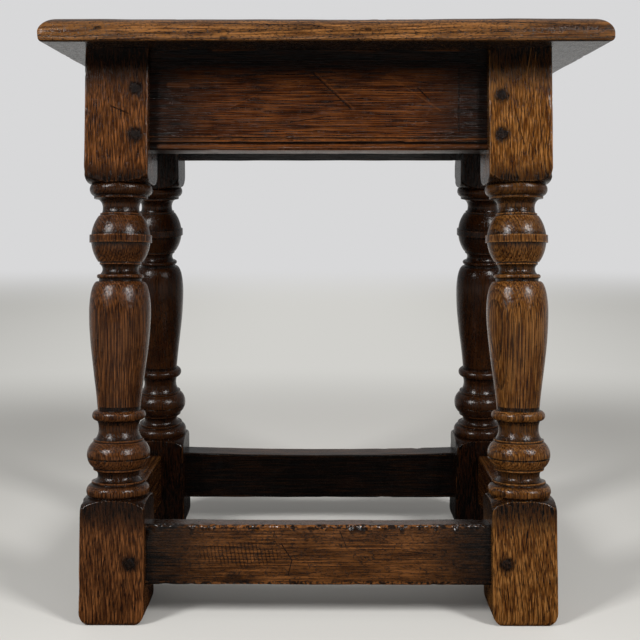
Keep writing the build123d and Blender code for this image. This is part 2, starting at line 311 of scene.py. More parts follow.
def moulding(name, height, below, middle, above, low):
    """The line of one moulding that starts at a height."""
    high = low + height
    half = low + height / 2
    line = arc((below, low), (middle, half), (above, high))
    if name == "banded globe":
        under, over = half - band_height / 2, half + band_height / 2
        band = finer([(band_radius, under), (band_radius, over)], band_step)
        line = between(line, under, over, band)
    if name == "squat ball":
        score = half - score_drop
        under, over = score - score_width / 2, score + score_width / 2
        line = between(line, under, over, [(radius_at(line, under) - score_depth, score)])
    if name == "throat":
        waist = low + throat_waist
        line = [
            (middle + (below - middle) * (1 - sin(turn)), waist - throat_waist * cos(turn))
            for turn in quarter(6)
        ] + [
            (above - (above - middle) * cos(turn), waist + (high - waist) * sin(turn))
            for turn in quarter(14)[1:]
        ]
    return line


def stack(mouldings, low):
    """The lines of several mouldings, one on the other, and the height they reach."""
    line = []
    for name, height, below, middle, above in mouldings:
        line += moulding(name, height, below, middle, above, low)
        low += height
    return line, low


# %% The mouldings, and the vase between them
cap = block / MM
vase_top = cap - sum(row[1] for row in upper_mouldings)
lower_line, ring_top = stack(lower_mouldings, foot_block / MM)
upper_line, _ = stack(upper_mouldings, vase_top)

belly = vase_top - vase_shoulder
handle = (belly - ring_top) / 3
vase_sides = [
    (vase_foot_radius, ring_top),
    (vase_foot_radius + vase_flare * handle, ring_top + handle),
    (belly_radius, belly - handle),
    (belly_radius, belly),
]
vase_line = []
for t in np.linspace(0, 1, 44):
    weights = (1 - t) ** 3, 3 * t * (1 - t) ** 2, 3 * t * t * (1 - t), t ** 3
    vase_line.append(tuple(
        sum(w * point[axis] for w, point in zip(weights, vase_sides)) for axis in (0, 1)))
vase_line += [
    (vase_top_radius + (belly_radius - vase_top_radius) * cos(turn),
     belly + vase_shoulder * sin(turn))
    for turn in quarter(24)[1:]
]

# %% The whole outline
sole_round = 11.0          # height of the rounding
sole_reach = 0.8 * sole_round
SOLE_SHARE = 0.35          # share of it at the front and back edges
block_step = 2.8
sole_step, head_step = 5, 6
sole_flat = corner_radius * (1 - sole_reach / (leg_width / 2 / MM))


def block_shoulder(height, drop):
    """The rounded shoulder that the turning leaves on a square block, crease first."""
    reach = corner_radius - crease_radius
    radius = (reach ** 2 + drop ** 2) / (2 * abs(drop))
    side = 1 if drop > 0 else -1
    sweep = acos(1 - abs(drop) / radius)
    return [
        (crease_radius + radius * sin(turn), height + side * radius * (1 - cos(turn)))
        for turn in np.linspace(0, sweep, ceil(radius * sweep) + 1)
    ]


run = leg_run / MM
foot = foot_block / MM
sole_line = finer([(0, 0), (sole_flat, 0)], sole_step) + [
    (sole_flat + (corner_radius - sole_flat) * sin(turn), sole_round * (1 - cos(turn)))
    for turn in quarter(7)[1:]
]
outline = (
    sole_line[:-1]
    + finer([sole_line[-1], (corner_radius, foot - shoulder_drop)], block_step)[:-1]
    + block_shoulder(foot, -shoulder_drop)[::-1]
    + lower_line
    + vase_line
    + upper_line
    + block_shoulder(cap, shoulder_drop)[:-1]
    + finer([(corner_radius, cap + shoulder_drop), (corner_radius, run)], block_step)
    + finer([(corner_radius, run), (0, run)], head_step)[1:]
)
apart = [b for a, b in zip(outline, outline[1:]) if dist(a, b) > 0.01]
outline = outline[:1] + apart
print(len(outline), "points in the outline of a leg")

# %% [markdown]
# ## Turning the leg
#
# The outline is extruded point by point, its corners are rounded a little while it is still a
# line, and `spin` turns it, as a lathe does.  The square blocks come next.  A boolean with a
# square bar would leave knife edges and ragged faces that no bevel can follow, so each point is
# drawn in to the square instead, by a soft minimum that also rounds the arches where the turning
# runs out.  The steps round the leg are crowded towards its four corners first, where the
# rounding needs them.

# %% Steps and rounding
TURNS = 160
SQUARENESS = 36               # the arrises are rounded about 1.7 mm
CROWDING = 0.19
soft = 0.5 * MM
level_foot = 70 * MM          # the cut's slope has run out at this height
level_head = 40 * MM          # and it starts again this far into the top block


# %% Turn the blank
def turned_leg():
    leg = wire("turned_leg", [(r * MM, 0, h * MM) for r, h in outline])
    soften_corners(leg, 0.35 * MM, clamp=True)
    bpy.ops.mesh.spin(steps=TURNS, angle=2 * pi, center=(0, 0, 0), axis=(0, 0, 1))
    bpy.ops.mesh.select_all(action="SELECT")
    bpy.ops.mesh.remove_doubles(threshold=0.002 * MM)
    face_outwards(leg)
    return leg


# %% Square the blocks, level the ends
def squared(leg):
    """Draws the blocks in to the square."""
    x, y, height = points_of(leg).T
    turn = np.arctan2(y, x)
    turn = turn + CROWDING * np.sin(4 * turn)
    radius = np.hypot(x, y)
    spread = np.abs(np.cos(turn)) ** SQUARENESS + np.abs(np.sin(turn)) ** SQUARENESS
    square = leg_width / 2 / spread ** (1 / SQUARENESS)
    sole = height < sole_round * MM
    # the sole is rounded most at its left and right edges, so it is widened front to back
    shrink = np.clip(radius / (corner_radius * MM), sole_flat / corner_radius, 1)
    widen = np.where(sole, (1 - SOLE_SHARE * (1 - shrink)) / shrink, 1)
    # the lesser of the turning and the square, rounded where they cross
    least = -soft * np.logaddexp(-radius / soft, -square / soft)
    flat = sole | (height > leg_run - 0.01 * MM)
    radius = np.where(flat, radius / (corner_radius * MM) * square, least)
    move_points(leg, radius * np.cos(turn), widen * radius * np.sin(turn), height)


def levelled(leg):
    """Cuts the sole and the head level: they lie at the rake across the leg."""
    x, y, height = points_of(leg).T
    share = np.interp(height, [0, level_foot, block + level_head, leg_run], [1, 0, 0, 1])
    move_points(leg, x, y, height + (leg_width / 2 + y) * tan(rake) * share)


leg_blank = turned_leg()
squared(leg_blank)
levelled(leg_blank)
print("leg:", len(leg_blank.data.polygons), "faces")

# %% [markdown]
# ## Four legs
#
# The blank is copied four times, each copy with its own mesh, turned to face its own way, and
# leant in by the rake.  Each leg then gets its own wear, because the noise that moves the
# surface is read where the leg stands.

# %% Wear and hand over
finished = {}


def wander(piece, size, depth, middle=0.5):
    """Moves the surface in and out by a soft noise.  Size and depth are in metres."""
    texture = bpy.data.textures.new("wander", "CLOUDS")
    texture.noise_scale = size
    texture.noise_depth = 1
    change = alone(piece).modifiers.new("wander", "DISPLACE")
    change.texture = texture
    change.texture_coords = "LOCAL"
    change.strength = depth
    change.mid_level = middle
    bpy.ops.object.modifier_apply(modifier="wander")


def finish(piece, *nodes, slot, size, depth, angle=40, middle=0.5):
    """Wears and shades the piece, which stands for its CAD nodes.  Its slot is not used."""
    wander(piece, size * MM, depth * MM, middle)
    bpy.ops.object.shade_smooth_by_angle(angle=radians(angle))
    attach(piece, "root")
    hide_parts(*nodes)
    finished[piece.name] = piece
    return piece


# %% Place the legs
LEFT, RIGHT = -1, 1
FRONT, REAR = -1, 1
ends = {"front": FRONT, "rear": REAR}
sides = {"left": LEFT, "right": RIGHT}


def leant(end, depth, height):
    """The y and z at a depth behind the leg's outer face and a height along the leg."""
    return (end * (face_y - depth * cos(rake) - height * sin(rake)),
            height * cos(rake) - depth * sin(rake))


def stand_leg(end_name, side_name):
    end, side = ends[end_name], sides[side_name]
    leg = twin(leg_blank)
    leg.name = leg.data.name = f"{end_name}_{side_name}_leg_worn"
    x, y, height = points_of(leg).T
    centre_x = frame_x + side * (half_opening + leg_width / 2)
    move_points(leg, centre_x - side * x, *leant(end, leg_width / 2 + y, height))
    face_outwards(leg)
    finish(leg, f"{end_name}_{side_name}_leg", slot="legs", size=28, depth=0.5, angle=50)


for end_name in ends:
    for side_name in sides:
        stand_leg(end_name, side_name)
bpy.data.objects.remove(leg_blank)
for name, leg in finished.items():
    low, high = Vector(leg.bound_box[0]), Vector(leg.bound_box[6])
    print(name, [round(v / MM, 1) for v in (*low, *high)])

# %% [markdown]
# ## Rails and stretchers
#
# A rail is a board with a bead scratched along its lower edge, and a stretcher is a plain bar
# with its edges worn round.  Each is drawn as a section, extruded along its length in small
# steps so that its wear has something to move, and set at the rake between the legs.

# %% Sections, as (depth behind the leg's outer face, height along the leg), in millimetres
rail_height = 85.8
rail_thickness = 24.0
rail_setback = 10.0
rail_corner = 0.4
bead_height = 6.0
bead_crown = 1.6
quirk_width = 1.0
line_height = 10.4
line_width = 0.9
line_depth = 0.7
stretcher_top = 81.5
stretcher_height = 49.7
stretcher_thickness = 22.8
stretcher_setback = 8.0
stretcher_corner = 1.8
rail_step = 2.5            # how far apart a section's points are
stretcher_step = 1.8
LENGTH_STEP = 2.5          # and how far apart the sections along a bar
rail_bottom = run - rail_height
stretcher_bottom = stretcher_top - stretcher_height


# %% Draw the sections
def rail_section(bottom, top):
    face, back = rail_setback, rail_setback + rail_thickness
    bead_top = bottom + bead_height
    line = bottom + line_height
    bead = arc((face + bead_crown, bottom), (face, bottom + bead_height / 2),
               (face + bead_crown, bead_top))
    rest = [
        (face + bead_crown, bead_top + quirk_width),
        (face, bead_top + quirk_width),
        (face, line - line_width / 2),
        (face + line_depth, line),
        (face, line + line_width / 2),
        (face, top),
        (back, top),
        (back, bottom),
    ]
    return bead + finer([bead[-1]] + rest, rail_step)[1:]


def stretcher_section(bottom, top):
    face, back = stretcher_setback, stretcher_setback + stretcher_thickness
    corners = [(face, bottom), (face, top), (back, top), (back, bottom), (face, bottom)]
    return finer(corners, stretcher_step)[:-1]


def bar(name, section, half_length, corner, step=LENGTH_STEP):
    """A section in the plane across the bar, extruded from end to end."""
    piece = wire(name + "_worn", [(-half_length, d * MM, h * MM) for d, h in section])
    bpy.ops.mesh.select_all(action="SELECT")
    bpy.ops.mesh.edge_face_add()
    soften_corners(piece, corner * MM)
    steps = ceil(2 * half_length / (step * MM))
    for _ in range(steps):
        extrude((2 * half_length / steps, 0, 0))
    face_outwards(piece)
    return piece


# %% Front and rear members
dish_depth = {"front_stretcher": 0.8, "rear_stretcher": 2.6}       # worn down by feet
dish_reach = 8.0
fine_step = {"front_stretcher": 1.2}                    # for its many small chips


def long_member(name, section, end, slot, corner):
    """A member between the two front legs or the two rear ones, at the rake."""
    piece = bar(name, section, half_opening, corner, fine_step.get(name, LENGTH_STEP))
    x, depth, height = points_of(piece).T
    near_top = np.clip(1 - (height.max() - height) / (dish_reach * MM), 0, 1)
    dish = dish_depth.get(name, 0) * MM * (1 - (x / half_opening) ** 2)
    y, z = leant(end, depth, height - dish * near_top)
    move_points(piece, frame_x + x, y, np.minimum(z, leg_height))
    face_outwards(piece)
    finish(piece, name, slot=slot, size=40, depth=0.7)


over_head = 2             # drawn past the seat's underside, and brought down to it
for end_name, end in ends.items():
    long_member(f"{end_name}_rail", rail_section(rail_bottom, run + over_head), end, "rails",
                rail_corner)
    long_member(f"{end_name}_stretcher", stretcher_section(stretcher_bottom, stretcher_top),
                end, "stretchers", stretcher_corner)


# %% Side members
def side_member(name, section, side, slot, corner):
    """A member between a front and a rear leg, its ends cut at the rake."""
    piece = bar(name, section, face_y, corner)
    along, depth, z = points_of(piece).T
    move_points(piece, frame_x + side * (half_opening + leg_width - depth), along, z)
    edit(piece)
    for end in ends.values():
        bpy.ops.mesh.select_all(action="SELECT")
        bpy.ops.mesh.bisect(
            plane_co=(0, *leant(end, leg_width, 0)), plane_no=(0, end * cos(rake), sin(rake)),
            use_fill=True, clear_outer=True,
        )
    face_outwards(piece)
    finish(piece, name, slot=slot, size=40, depth=0.7)


for side_name, side in sides.items():
    side_member(f"{side_name}_rail", rail_section(rail_bottom * cos(rake), leg_height / MM),
                side, "rails", rail_corner)
    side_member(f"{side_name}_stretcher",
                stretcher_section(stretcher_bottom * cos(rake), stretcher_top * cos(rake)),
                side, "stretchers", stretcher_corner)

# %% [markdown]
# ## The seat board
#
# One board with a thumb moulding worked round all four edges and a field raised a little inside
# it.  Modelled from the underside up: the face is extruded again and again, each time by the next
# step of the edge's curve, and scaled so that all four sides move in or out by the same amount.
# The moulding then meets in mitres at the corners, as the joiner's plane leaves it.  The front
# edge is last rubbed down in its middle, where most people sat and rose.

# %% Seat sizes
seat_low, seat_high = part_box("seat_top")
seat_thickness = 21.0 * MM
thumb_width = 16.5 * MM
thumb_height = 14.3 * MM
margin_fall = 0.6 * MM
under_round = 3.5 * MM
field_margin = 26.0 * MM
field_rise = 1.3 * MM
rub_depth = 1.0 * MM
rub_half_length = 150 * MM
rub_reach = 35 * MM


# %% Steps of the edge
def seat_profile():
    """Steps round the edge of the board, as (inset from the widest line, height)."""
    edge = seat_thickness - margin_fall - thumb_height
    under = [(under_round * (1 - sin(turn)), under_round * (1 - cos(turn))) for turn in quarter(6)]
    thumb = [
        (thumb_width * (1 - cos(turn)), edge + thumb_height * sin(turn)) for turn in quarter(18)
    ]
    margin = [
        (field_margin - 0.4 * MM, seat_thickness),
        (field_margin, seat_thickness + 0.35 * MM),
        (field_margin + 0.3 * MM, seat_thickness + field_rise - 0.4 * MM),
        (field_margin + 0.9 * MM, seat_thickness + field_rise),
    ]
    return under + thumb + margin


# %% Shape the board
def grid(seat):
    """Divides the board's long edges, so that wear has points to move."""
    for across, least, cuts in ((1, 300 * MM, 187), (0, 150 * MM, 99)):
        pick(seat, "EDGE", lambda edge: edge.calc_length() > least and abs(
            (edge.verts[0].co - edge.verts[1].co)[across]) < 0.001 * MM)
        bpy.ops.mesh.subdivide(number_cuts=cuts)


def rub_front_edge(seat):
    x, y, z = points_of(seat).T
    share = np.clip((z - leg_height) / seat_thickness, 0, 1)
    midway = np.clip(1 - (x / rub_half_length) ** 2, 0, 1)
    near = np.exp((seat_low.y - y) / rub_reach)
    move_points(seat, x, y, z - rub_depth * share * midway * near)


def seat_board():
    profile = seat_profile()
    length, width, _ = seat_high - seat_low
    middle = (seat_low + seat_high) / 2
    middle.z = leg_height
    seat = start(bpy.ops.mesh.primitive_plane_add, "seat_board", size=1, location=middle)
    first = profile[0][0]
    seat.scale = (length - 2 * first, width - 2 * first, 1)
    bpy.ops.object.transform_apply(location=True, rotation=False, scale=True)
    edit(seat)
    bpy.ops.mesh.select_mode(type="FACE")
    for (inset, height), (next_inset, next_height) in zip(profile, profile[1:]):
        extrude((0, 0, next_height - height))
        growth = [(size - 2 * next_inset) / (size - 2 * inset) for size in (length, width)]
        bpy.ops.transform.resize(value=(*growth, 1), center_override=middle)
    grid(seat)
    bpy.ops.mesh.select_all(action="SELECT")
    bpy.ops.mesh.remove_doubles(threshold=0.001 * MM)
    face_outwards(seat)
    rub_front_edge(seat)
    return finish(seat, "seat_top", slot="seat", size=60, depth=1.2)


seat = seat_board()
print("seat:", len(seat.data.polygons), "faces")

# %% [markdown]
# ## Pegs
#
# The joints are held by pegs riven from dry oak and driven in tapering, so that their ends are
# roughly eight-sided and stand a little proud of the leg.  One peg is modelled: a circle pulled
# out of true, extruded to its length and crowned at the end.  It is copied to the outer end of
# every peg in the frame, each copy turned its own way.

# %% One peg
PEG_LENGTH = 34 * MM
PEG_RADIUS = 4.4 * MM
CROWN_RISE = 1.6 * MM
CROWN = [(1.0, 0.97), (0.45, 0.86), (0.12, 0.7), (0.05, 0.6), (0.0, 0.5)]   # rise in mm, growth
chance = np.random.default_rng(1650)


def riven_peg():
    peg = start(bpy.ops.mesh.primitive_circle_add, "peg", vertices=24, radius=PEG_RADIUS,
                fill_type="NGON", location=(0, 0, 0))
    edit(peg)
    extrude((0, 0, PEG_LENGTH - CROWN_RISE))
    for rise, growth in CROWN:
        extrude((0, 0, rise * MM))
        bpy.ops.transform.resize(value=(growth, growth, 1), center_override=(0, 0, 0))
    bpy.ops.mesh.merge(type="CENTER")
    face_outwards(peg)
    x, y, z = points_of(peg).T
    turn = np.arctan2(y, x)
    # split off with a knife, so it has flats and is a little lopsided
    facets = 1 + 0.08 * np.cos(7 * turn) + 0.06 * np.cos(3 * turn + 1)
    move_points(peg, x * facets, y * facets, z - PEG_LENGTH)
    return peg


peg_blank = riven_peg()

# %% Where the pegs go
CAP_DEPTH = 0.1 * MM
NEAREST_PEGS = 12 * MM       # the pegs of a pair are further apart than this
peg_places = {}


def peg_ends(node_name, outward):
    """The middles of the outer ends of a node's pegs."""
    points = points_of(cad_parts[node_name])
    reach = points @ np.array(outward)
    caps = points[reach > reach.max() - CAP_DEPTH]
    ends_found = []
    while len(caps):
        near = np.linalg.norm(caps - caps[0], axis=1) < NEAREST_PEGS
        ends_found.append(Vector((caps[near].min(axis=0) + caps[near].max(axis=0)) / 2))
        caps = caps[~near]
    return ends_found


# %% Drive the pegs
def drive_pegs(node_name, outward):
    """Copies the peg to each place of a node, as one piece."""
    peg_places[node_name] = peg_ends(node_name, outward)
    facing = Vector(outward).to_track_quat("Z", "Y")
    copies = []
    for place in peg_places[node_name]:
        copy = twin(peg_blank)
        copy.rotation_mode = "QUATERNION"
        copy.rotation_quaternion = facing @ Quaternion((0, 0, 1), chance.uniform(0, 2 * pi))
        copy.location = place
        copies.append(copy)
    piece = alone(copies[0])
    for copy in copies:
        copy.select_set(True)
    bpy.ops.object.transform_apply(location=True, rotation=True, scale=True)
    if len(copies) > 1:
        bpy.ops.object.join()
    piece.name = piece.data.name = node_name + "_worn"
    finish(piece, node_name, slot="pegs", size=2.2, depth=0.8, angle=32, middle=0.6)


for end_name, end in ends.items():
    face_out = (0, end * cos(rake), sin(rake))
    for side_name, side in sides.items():
        leg_places = []
        for node_name, outward in (
            (f"{end_name}_rail_{side_name}_pegs", face_out),
            (f"{end_name}_stretcher_{side_name}_peg", face_out),
            (f"{side_name}_rail_{end_name}_pegs", (side, 0, 0)),
            (f"{side_name}_stretcher_{end_name}_peg", (side, 0, 0)),
        ):
            drive_pegs(node_name, outward)
            leg_places += peg_places[node_name]
        peg_places[f"{end_name}_{side_name}_leg"] = leg_places
drive_pegs("seat_pegs", (0, 0, 1))
bpy.data.objects.remove(peg_blank)
print({name: len(places) for name, places in peg_places.items()})

# %% [markdown]
# ## Where old oak wears, where it gathers dirt, and where shade is painted
#
# Three centuries of hands, heels and dusters do two things.  They rub the wax and colour off
# every arris, and they leave dirt wherever a cloth can't reach: in hollows, round pegs and where
# two pieces meet.  The same dark layer also carries painted shade: in hollows and creases, where
# two pieces meet, under the seat and on the inner faces at the back it stands in for shadow as
# well as dirt.  Both follow the shape, so they are measured on the mesh, point by point, and
# stored as attributes that the finishes read.

# %% How the surface bends
def edges_of(piece):
    return read(piece.data.edges, "vertices", 2, np.int32).T


def normals_of(piece):
    return read(piece.data.vertices, "normal", 3)


def met(one, two, at_one, at_two, size):
    """The mean, at each point, of what the edges that meet there bring."""
    count = np.maximum(np.bincount(one, minlength=size) + np.bincount(two, minlength=size), 1)
    return (np.bincount(one, at_one, size) + np.bincount(two, at_two, size)) / count


def spread(values, one, two, times):
    """Evens out values over the points that edges join."""
    for _ in range(times):
        values = (values + met(one, two, values[two], values[one], len(values))) / 2
    return values


def convexity(piece):
    """How sharply the surface bends at each point, per millimetre; a hollow is negative."""
    one, two = edges_of(piece)
    points, normals = points_of(piece) / MM, normals_of(piece)
    along = points[two] - points[one]
    square = np.maximum((along ** 2).sum(axis=1), 1e-6)
    from_one = -2 * (normals[one] * along).sum(axis=1) / square
    from_two = 2 * (normals[two] * along).sum(axis=1) / square
    return np.clip(met(one, two, from_one, from_two, len(points)), -2, 2)


# %% Dents and chips
ARRIS = 0.12              # bends more than this, per millimetre


def dented(piece, number, depth, rule=None, size=(2.5, 7)):
    """Knocks small dents into the arrises of a piece.  Depth and size are in millimetres."""
    one, two = edges_of(piece)
    points, normals = points_of(piece), normals_of(piece)
    bend = spread(convexity(piece), one, two, 2)
    choice = np.flatnonzero((bend > ARRIS) & (rule(points) if rule else True))
    for _ in range(number):
        at = chance.choice(choice)
        radius = chance.uniform(*size) * MM
        deep = chance.uniform(0.3, 1) * depth * MM
        gap = (points - points[at]) / radius
        gap[:, 2] *= chance.uniform(0.5, 1.2)
        share = np.clip(1 - (gap ** 2).sum(axis=1), 0, 1) ** 1.5
        points = points - normals[at] * (share * deep)[:, None]
    move_points(piece, *points.T)


def front_top(points):
    """The upper front arris of the stretcher, where feet rested."""
    return (points[:, 2] > (stretcher_top - 12) * MM) & (
        points[:, 1] < points[:, 1].min() + 14 * MM)


def on_blocks(points):
    return (points[:, 2] < foot_block) | (points[:, 2] > leg_height - top_block)


dented(finished["front_stretcher_worn"], 10, 0.8, front_top)
dented(finished["front_stretcher_worn"], 110, 0.9, front_top, (1.4, 3.0))
for name, piece in finished.items():
    if "leg" in name:
        dented(piece, 26, 0.9, on_blocks)
    elif name == "seat_board":
        dented(piece, 60, 0.8)
    elif "peg" not in name:
        dented(piece, 10, 0.7)

# %% Helpers for the dirt and painted shade
ANY = np.inf


def smooth(values, start, full):
    """0 at the start and 1 at the full value, eased at both."""
    share = np.clip((values - start) / (full - start), 0, 1)
    return share * share * (3 - 2 * share)


def gap_to(points, places):
    """How far each point is from the nearest of some places."""
    return np.min([np.linalg.norm(points - np.array(place), axis=1) for place in places], axis=0)


def along_leg(points, end):
    """The height along the leg, for each point."""
    return (face_y - end * points[:, 1]) * sin(rake) + points[:, 2] * cos(rake)


def facing(normals):
    """How far a face looks along a direction, given its share of the normal."""
    return smooth(normals, 0, 0.6)


# %% Dirt and painted shade on a leg
# its share, the heights where it starts and is full, and the heights that bound it
leg_dirt_and_shade = [
    (0.82, block + 20 * MM, block + 2 * MM, block - 1 * MM, ANY),         # top block's shoulder
    (0.6, block - 16 * MM, block - 5 * MM, -ANY, block),                  # cap bead
    # under the seat: a painted shadow of the seat, darker towards the top of the leg
    (0.94, leg_run - 50 * MM, leg_run - 4 * MM, -ANY, ANY),               # under the seat
    (0.88, foot_block - 38 * MM, foot_block - 4 * MM, -ANY, foot_block + 1 * MM),   # foot
    (0.5, 5 * MM, 0, -ANY, ANY),                                          # sole
]
vase_middle = (ring_top + vase_top) / 2 * MM
vase_half = (vase_top - ring_top) / 2 * MM
under_ball = sum(row[1] for row in lower_mouldings[:4])
ball_middle = foot_block + (under_ball + lower_mouldings[4][1] / 2) * MM
score_height = ball_middle - score_drop * MM
HAIRLINE = 1.0 * MM


def dirt_and_shade_on_leg(points, normals, height, turned, crest, end, side, places):
    across = side * (points[:, 0] - frame_x) - half_opening
    off_vase = np.abs(height - vase_middle)
    dirt = np.max([
        share * smooth(height, start, full) * (height > low) * (height < high)
        for share, start, full, low, high in leg_dirt_and_shade
    ] + [
        # beside the rail: dirt together with painted shade
        0.5 * smooth(across, 3 * MM, 0) * (height > block),               # beside the rail
        0.6 * turned * smooth(off_vase, vase_half - 2 * MM, vase_half + 4 * MM),
        np.where(turned, 0.26, 0.14) * (height < block),                  # everywhere below
    ], axis=0)
    # the crests of the mouldings are rubbed clean
    dirt *= np.where(turned & (height < block - 16 * MM), 1 - 0.6 * crest, 1)
    layers = [
        dirt,
        smooth(np.abs(height - score_height), HAIRLINE, HAIRLINE / 2),
        0.95 * smooth(gap_to(points, places), 9 * MM, 4.6 * MM),
    ]
    # the rear legs' faces that look forward or inward are darkened: painted shade, for shadow that
    # the lamps don't cast, together with dirt
    if end == REAR:
        forward, inward = -normals[:, 1], -side * normals[:, 0]
        inner = np.maximum(facing(forward), facing(inward))
        layers.append(np.where(turned, 0.66 * smooth(forward, -0.5, 0.3), 0.97 * inner))
    return np.max(layers, axis=0)


# %% Dirt and painted shade on the other pieces
side_tenon = 24 * MM


def dirt_and_shade_on_bar(points, normals, end, is_rail):
    gap = half_opening - np.abs(points[:, 0] - frame_x)
    # ends beside the legs: dirt together with painted shade, darker towards the legs
    layers = [smooth(gap, 8 * MM, 3 * MM), 0.86 * smooth(gap, 70 * MM, 8 * MM)]
    # the rear member's faces that look forward: painted shade together with dirt
    if end == REAR:
        layers.append(facing(-normals[:, 1]))
    if is_rail:
        height = along_leg(points, end)
        # the rail's ends beside the legs: dirt with painted shade
        layers.append(smooth(gap, 16 * MM, 8 * MM))
        # a painted shadow of the seat along the rail's top
        layers.append(smooth(height, leg_run - 24 * MM, leg_run - 10 * MM))
        # the line and the quirk drawn dark
        for groove in (line_height, bead_height + quirk_width / 2):
            off = np.abs(height - (rail_bottom + groove) * MM)
            layers.append(smooth(off, 0.8 * MM, 0.3 * MM))
    return np.max(layers, axis=0)


def dirt_on_side_bar(points, node_name):
    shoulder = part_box(node_name)[1].y - side_tenon
    return 0.9 * smooth(shoulder - np.abs(points[:, 1]), 9 * MM, 1 * MM)


def dirt_and_shade_on_seat(points):
    x, y, z = np.abs(points).T
    rim = np.minimum(seat_high.x - x, seat_high.y - y)
    rise = z - leg_height
    return np.max([
        # the underside: painted shade together with dirt
        0.9 * smooth(rise, 1.6 * MM, 0.3 * MM),                                   # underside
        0.6 * smooth(rise, 17.3 * MM, 19.5 * MM) * (rim < field_margin),          # round the field
        0.2 * smooth(x, 100 * MM, 200 * MM),                                      # ends
        0.9 * smooth(gap_to(points, peg_places["seat_pegs"]), 8 * MM, 4.6 * MM),
    ], axis=0)


# %% Wear, dirt and painted shade as attributes
WORN_BEND = 0.3           # per millimetre, fully worn
CREST_BEND = 0.045        # the same over a wide area


def keep(piece, **layers):
    for name, values in layers.items():
        layer = piece.data.attributes.new(name, "FLOAT", "POINT")
        layer.data.foreach_set("value", np.clip(values, -1, 1).astype(np.float32))


for name, piece in finished.items():
    one, two = edges_of(piece)
    bend = convexity(piece)
    worn = spread(bend, one, two, 3) / WORN_BEND
    broad = spread(bend, one, two, 14) / CREST_BEND
    crease = -spread(bend, one, two, 2) / WORN_BEND
    points, normals = points_of(piece), normals_of(piece)
    node_name = name.replace("_worn", "")
    first, second = node_name.split("_")[:2]
    if "leg" in name:
        height = along_leg(points, ends[first])
        turned = (height > foot_block) & (height < block)
        dirt = dirt_and_shade_on_leg(points, normals, height, turned, smooth(broad, 0.2, 1.2),
                           ends[first], sides[second], peg_places[node_name])
        # a turned arris is rounder than a block's, and wears less
        worn *= np.where(turned, 0.6, 1)
        # the vase itself has no hollows
        off_vase = np.abs(height - vase_middle)
        clear = smooth(off_vase, vase_half - 4 * MM, vase_half + 1 * MM)
        broad *= np.where(turned, clear, 1)
    elif "peg" in name:
        dirt = 0.4 + 0.6 * smooth(gap_to(points, peg_places[node_name]), 2.6 * MM, 3.8 * MM)
    elif first in ends:
        dirt = dirt_and_shade_on_bar(points, normals, ends[first], second == "rail")
    elif first in sides:
        dirt = dirt_on_side_bar(points, node_name)
    else:
        dirt = dirt_and_shade_on_seat(points)
    # the rails were never waxed underneath
    dull = smooth(-normals[:, 2], 0.7, 0.9) * (second == "rail")
    keep(piece, crease=crease, dirt=dirt, worn=worn, hollow=-broad, dull=dull)
print("wear measured on", len(finished), "pieces")

# %% [markdown]
# ## A studio
#
# A pale floor of paper, and two soft boxes either side of the camera that put the paired
# highlights on every turned ball.  The room behind the camera is dim, so that the flat waxed
# faces keep their dark colour; the wall behind the stool is pale, and shows in the wax wherever
# a face is seen at a grazing angle.

# %% Colours and nodes
def linear(hex_colour):
    """An sRGB hex colour as Blender's linear colour."""
    channels = [int(hex_colour[i:i + 2], 16) / 255 for i in (1, 3, 5)]
    return (*(c / 12.92 if c <= 0.04045 else ((c + 0.055) / 1.055) ** 2.4 for c in channels), 1)


def node(tree, kind, *inputs, output=None, **settings):
    """Adds a node with its settings and inputs, and returns its output, by default the first.

    The kind may be followed by the operation, as in "Math ADD".  The inputs come in the
    order in which the node shows them: a MapRange takes a value, the two ends of its range and
    what they turn into, and a Mix takes the share of its second colour first.  An input that is
    another node's output is linked, and any other is set.
    """
    kind, _, operation = kind.partition(" ")
    made = tree.nodes.new("ShaderNode" + kind)
    if operation:
        made.operation = operation
    for name, value in settings.items():
        setattr(made, name, value)
    for socket, value in zip([s for s in made.inputs if s.enabled], inputs):
        if isinstance(value, bpy.types.NodeSocket):
            tree.links.new(value, socket)
        else:
            socket.default_value = value
    return made.outputs[output] if output else [s for s in made.outputs if s.enabled][0]


# %% Floor
WALL = "#d8d8d9"
PAPER = "#dad8d3"
# the paper to the sides, darker as painted shade
PAPER_IN_PAINTED_SHADE = "#cac8c3"
PAPER_IN_WAX = "#3a3a39"
FAR = "#d1d0cc"
# the far paper to the sides, darker as painted shade
FAR_IN_PAINTED_SHADE = "#b5b4b0"


